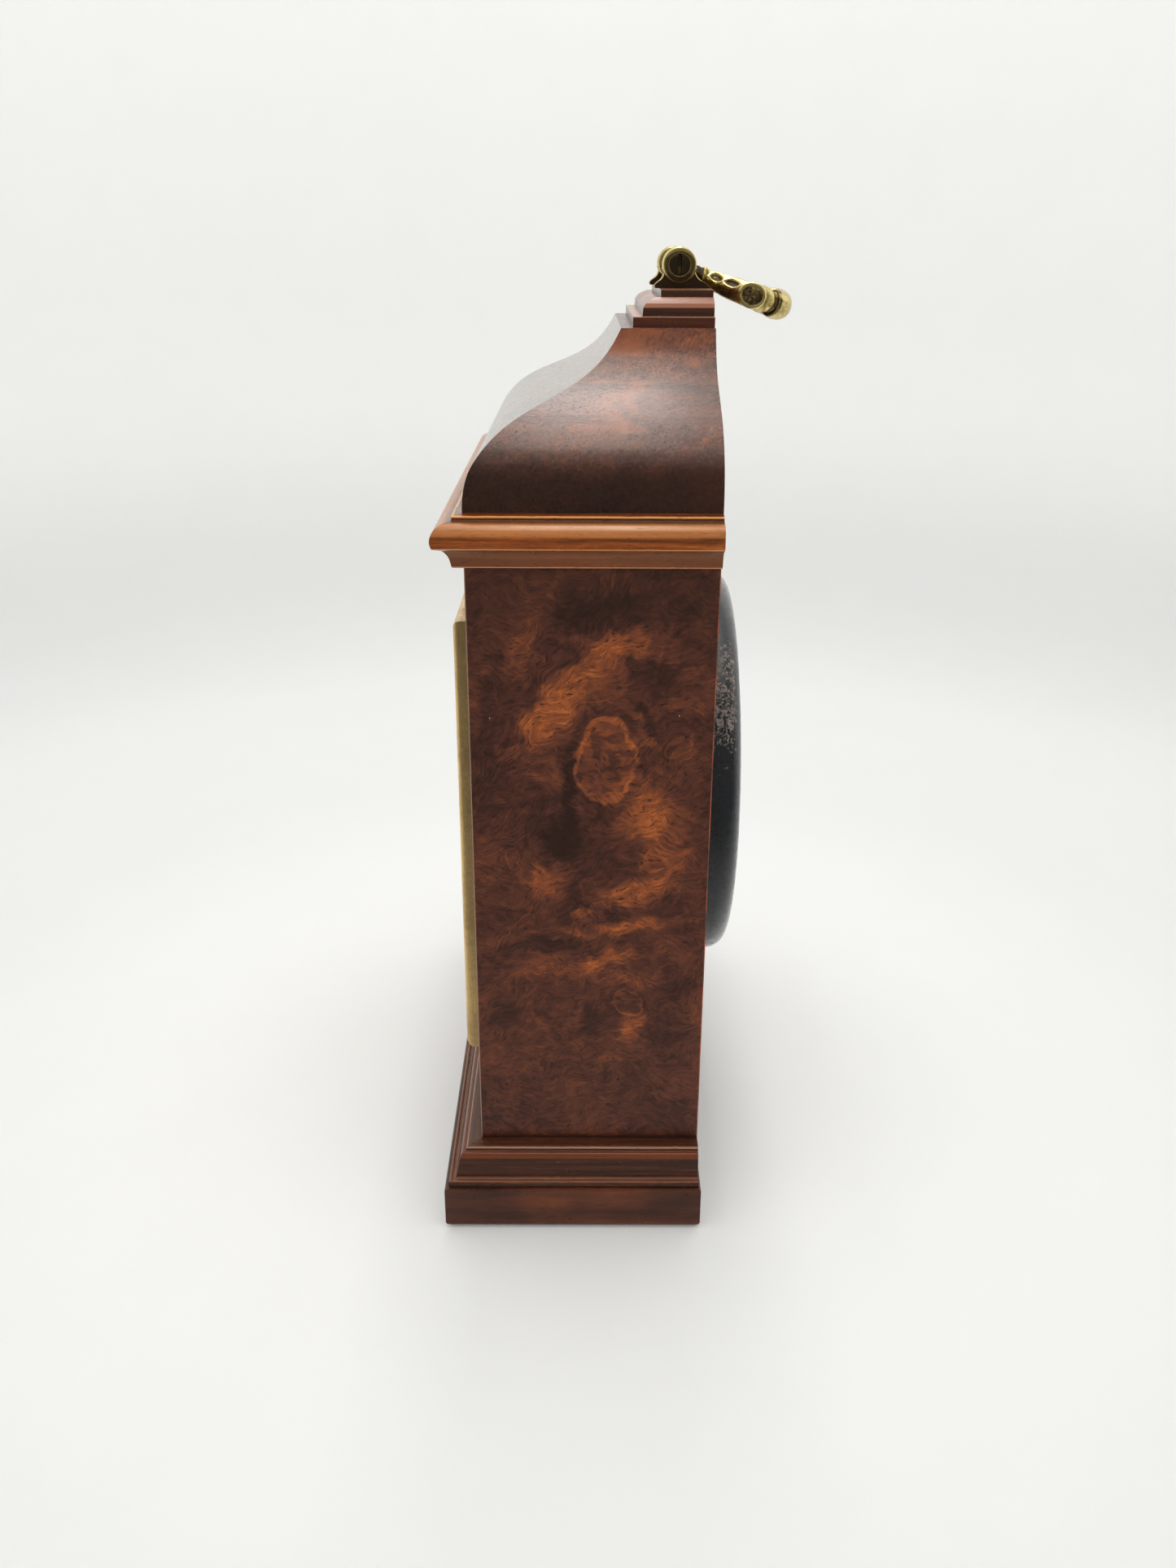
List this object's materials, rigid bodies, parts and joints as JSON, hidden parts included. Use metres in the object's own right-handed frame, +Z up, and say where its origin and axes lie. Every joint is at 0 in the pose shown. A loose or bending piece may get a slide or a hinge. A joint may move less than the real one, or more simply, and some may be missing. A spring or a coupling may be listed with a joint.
{
  "type": "bracket clock",
  "caption": "Bell-top wooden bracket timepiece with a hinged glazed front door, a folding carrying handle, a round metal rear cover and a going spring-driven movement",
  "frame": {"origin": "middle of the flat underside of the plinth, below the centre of the body", "axes": "+Z up, -Y towards the dial and door, +X to the right seen from the front"},
  "size_m": [0.2274, 0.1301, 0.3545],
  "materials": {
    "plinth": "polished walnut, slightly worn",
    "base_board": "planed softwood",
    "base_moulding": "polished straight-grained walnut",
    "side_panel_left": "polished burr walnut veneer",
    "side_panel_right": "polished burr walnut veneer",
    "front_board": "polished burr walnut veneer",
    "back_board": "stained and lacquered wood",
    "top_board": "planed softwood",
    "crown_moulding": "polished straight-grained walnut",
    "bell_top": "waxed walnut veneer",
    "cap_tier_lower": "polished walnut",
    "cap_tier_middle": "polished walnut",
    "cap_tier_upper": "polished walnut",
    "handle_posts": "cast brass, darkened in the hollows",
    "handle_screws": "dark patinated brass",
    "hinge_leaves": "satin brass",
    "hinge_pins": "drawn brass wire",
    "door_catch": "sprung brass",
    "dial_plate": "matted gilt brass",
    "chapter_ring": "silvered and engraved brass",
    "dial_feet": "turned brass",
    "front_plate": "lacquered brass",
    "back_plate": "lacquered brass",
    "pillars": "turned brass",
    "steel_screws": "slotted steel",
    "click_spring": "sprung brass",
    "stub_posts": "polished steel",
    "hairspring": "blued spring steel",
    "escapement_bridge": "lacquered brass",
    "back_cover_ring": "turned brass",
    "handle_bail": "cast brass, darkened in the hollows",
    "door_frame": "satin brass",
    "door_glass": "clear plate glass",
    "door_glass_retainer": "folded brass strip",
    "back_cover": "glossy black lacquer, chipped at the rim",
    "centre_arbor": "polished steel",
    "centre_wheel": "polished brass",
    "cannon_pinion": "polished steel",
    "minute_hand": "blued steel",
    "hand_nut": "turned brass",
    "minute_wheel": "polished brass",
    "hour_wheel": "polished brass",
    "hour_hand": "blued steel",
    "intermediate_arbor": "polished steel",
    "intermediate_wheel": "polished brass",
    "barrel": "turned brass",
    "barrel_cap": "turned brass",
    "mainspring": "blued spring steel",
    "barrel_arbor": "polished steel",
    "ratchet_wheel": "polished steel",
    "click": "polished steel",
    "third_arbor": "polished steel",
    "third_wheel": "polished brass",
    "fourth_arbor": "polished steel",
    "fourth_wheel": "polished brass",
    "escape_arbor": "polished steel",
    "escape_wheel": "polished brass",
    "pallet_lever": "polished steel",
    "balance_wheel": "gilt brass",
    "regulator_index": "polished steel"
  },
  "bodies": {
    "case": {"plinth": "plinth", "base_board": "base_board", "base_moulding": "base_moulding", "side_panel_left": "side_panel_left", "side_panel_right": "side_panel_right", "front_board": "front_board", "back_board": "back_board", "top_board": "top_board", "crown_moulding": "crown_moulding", "bell_top": "bell_top", "cap_tier_lower": "cap_tier_lower", "cap_tier_middle": "cap_tier_middle", "cap_tier_upper": "cap_tier_upper", "handle_posts": "handle_posts", "handle_screws": "handle_screws", "hinge_leaves": "hinge_leaves", "hinge_pins": "hinge_pins", "door_catch": "door_catch", "dial_plate": "dial_plate", "chapter_ring": "chapter_ring", "dial_feet": "dial_feet", "front_plate": "front_plate", "back_plate": "back_plate", "pillars": "pillars", "steel_screws": "steel_screws", "click_spring": "click_spring", "stub_posts": "stub_posts", "hairspring": "hairspring", "escapement_bridge": "escapement_bridge", "back_cover_ring": "back_cover_ring"},
    "handle": {"handle_bail": "handle_bail"},
    "door": {"door_frame": "door_frame", "door_glass": "door_glass", "door_glass_retainer": "door_glass_retainer"},
    "cover": {"back_cover": "back_cover"},
    "centre": {"centre_arbor": "centre_arbor", "centre_wheel": "centre_wheel", "cannon_pinion": "cannon_pinion", "minute_hand": "minute_hand", "hand_nut": "hand_nut"},
    "motion": {"minute_wheel": "minute_wheel"},
    "hours": {"hour_wheel": "hour_wheel", "hour_hand": "hour_hand"},
    "intermediate": {"intermediate_arbor": "intermediate_arbor", "intermediate_wheel": "intermediate_wheel"},
    "spring_barrel": {"barrel": "barrel", "barrel_cap": "barrel_cap", "mainspring": "mainspring"},
    "winding": {"barrel_arbor": "barrel_arbor", "ratchet_wheel": "ratchet_wheel"},
    "click_body": {"click": "click"},
    "third": {"third_arbor": "third_arbor", "third_wheel": "third_wheel"},
    "fourth": {"fourth_arbor": "fourth_arbor", "fourth_wheel": "fourth_wheel"},
    "escape": {"escape_arbor": "escape_arbor", "escape_wheel": "escape_wheel"},
    "lever": {"pallet_lever": "pallet_lever"},
    "balance": {"balance_wheel": "balance_wheel"},
    "index": {"regulator_index": "regulator_index"}
  },
  "joints": [
    {"name": "handle_fold", "type": "hinge", "parent": "case", "child": "handle", "pos_m": [0, 0.03085, 0.3482], "axis": [1, 0, 0], "range_deg": [0, 220]},
    {"name": "door_swing", "type": "hinge", "parent": "case", "child": "door", "pos_m": [-0.088, -0.045, 0.15], "axis": [0, 0, -1], "range_deg": [0, 105]},
    {"name": "cover_swing", "type": "hinge", "parent": "case", "child": "cover", "pos_m": [-0.0822, 0.045, 0.1522], "axis": [0, 0, 1], "range_deg": [0, 105]},
    {"name": "minute_hand_turn", "type": "hinge", "parent": "case", "child": "centre", "pos_m": [0, 0, 0.15], "axis": [0, 1, 0], "continuous": true},
    {"name": "minute_wheel_turn", "type": "hinge", "parent": "case", "child": "motion", "pos_m": [0.01358, 0, 0.16358], "axis": [0, 1, 0], "continuous": true},
    {"name": "hour_hand_turn", "type": "hinge", "parent": "case", "child": "hours", "pos_m": [0, 0, 0.15], "axis": [0, 1, 0], "continuous": true},
    {"name": "intermediate_turn", "type": "hinge", "parent": "case", "child": "intermediate", "pos_m": [-0.01724, 0, 0.13801], "axis": [0, 1, 0], "continuous": true},
    {"name": "barrel_turn", "type": "hinge", "parent": "case", "child": "spring_barrel", "pos_m": [0, 0, 0.112], "axis": [0, 1, 0], "continuous": true},
    {"name": "third_turn", "type": "hinge", "parent": "case", "child": "third", "pos_m": [-0.01637, 0, 0.15945], "axis": [0, 1, 0], "continuous": true},
    {"name": "fourth_turn", "type": "hinge", "parent": "case", "child": "fourth", "pos_m": [-0.01241, 0, 0.17423], "axis": [0, 1, 0], "continuous": true},
    {"name": "escape_turn", "type": "hinge", "parent": "case", "child": "escape", "pos_m": [0.00028, 0, 0.17885], "axis": [0, 1, 0], "continuous": true},
    {"name": "winding_turn", "type": "hinge", "parent": "case", "child": "winding", "pos_m": [0, 0, 0.112], "axis": [0, 1, 0], "continuous": true},
    {"name": "click_lift", "type": "hinge", "parent": "case", "child": "click_body", "pos_m": [-0.0152, 0, 0.1185], "axis": [0, 1, 0], "range_deg": [0, 8], "stiffness_Nm_per_rad": 0.0008, "springref_deg": -20.05},
    {"name": "balance_swing", "type": "hinge", "parent": "case", "child": "balance", "pos_m": [0.02027, 0, 0.17349], "axis": [0, 1, 0], "range_deg": [-130, 130]},
    {"name": "lever_rock", "type": "hinge", "parent": "case", "child": "lever", "pos_m": [0.00868, 0, 0.17659], "axis": [0, 1, 0], "range_deg": [-8.2, 8.2]},
    {"name": "index_turn", "type": "hinge", "parent": "case", "child": "index", "pos_m": [0.02027, 0, 0.17349], "axis": [0, 1, 0], "range_deg": [-20, 20]}
  ],
  "couplings": [
    {"joint": "minute_wheel_turn", "follows": "minute_hand_turn", "ratio": -0.33333},
    {"joint": "hour_hand_turn", "follows": "minute_hand_turn", "ratio": 0.083333},
    {"joint": "intermediate_turn", "follows": "minute_hand_turn", "ratio": -0.16667},
    {"joint": "barrel_turn", "follows": "minute_hand_turn", "ratio": 0.02381},
    {"joint": "third_turn", "follows": "minute_hand_turn", "ratio": -8},
    {"joint": "fourth_turn", "follows": "minute_hand_turn", "ratio": 60},
    {"joint": "escape_turn", "follows": "minute_hand_turn", "ratio": -480},
    {"joint": "lever_rock", "follows": "balance_swing", "ratio": -0.061538}
  ]
}
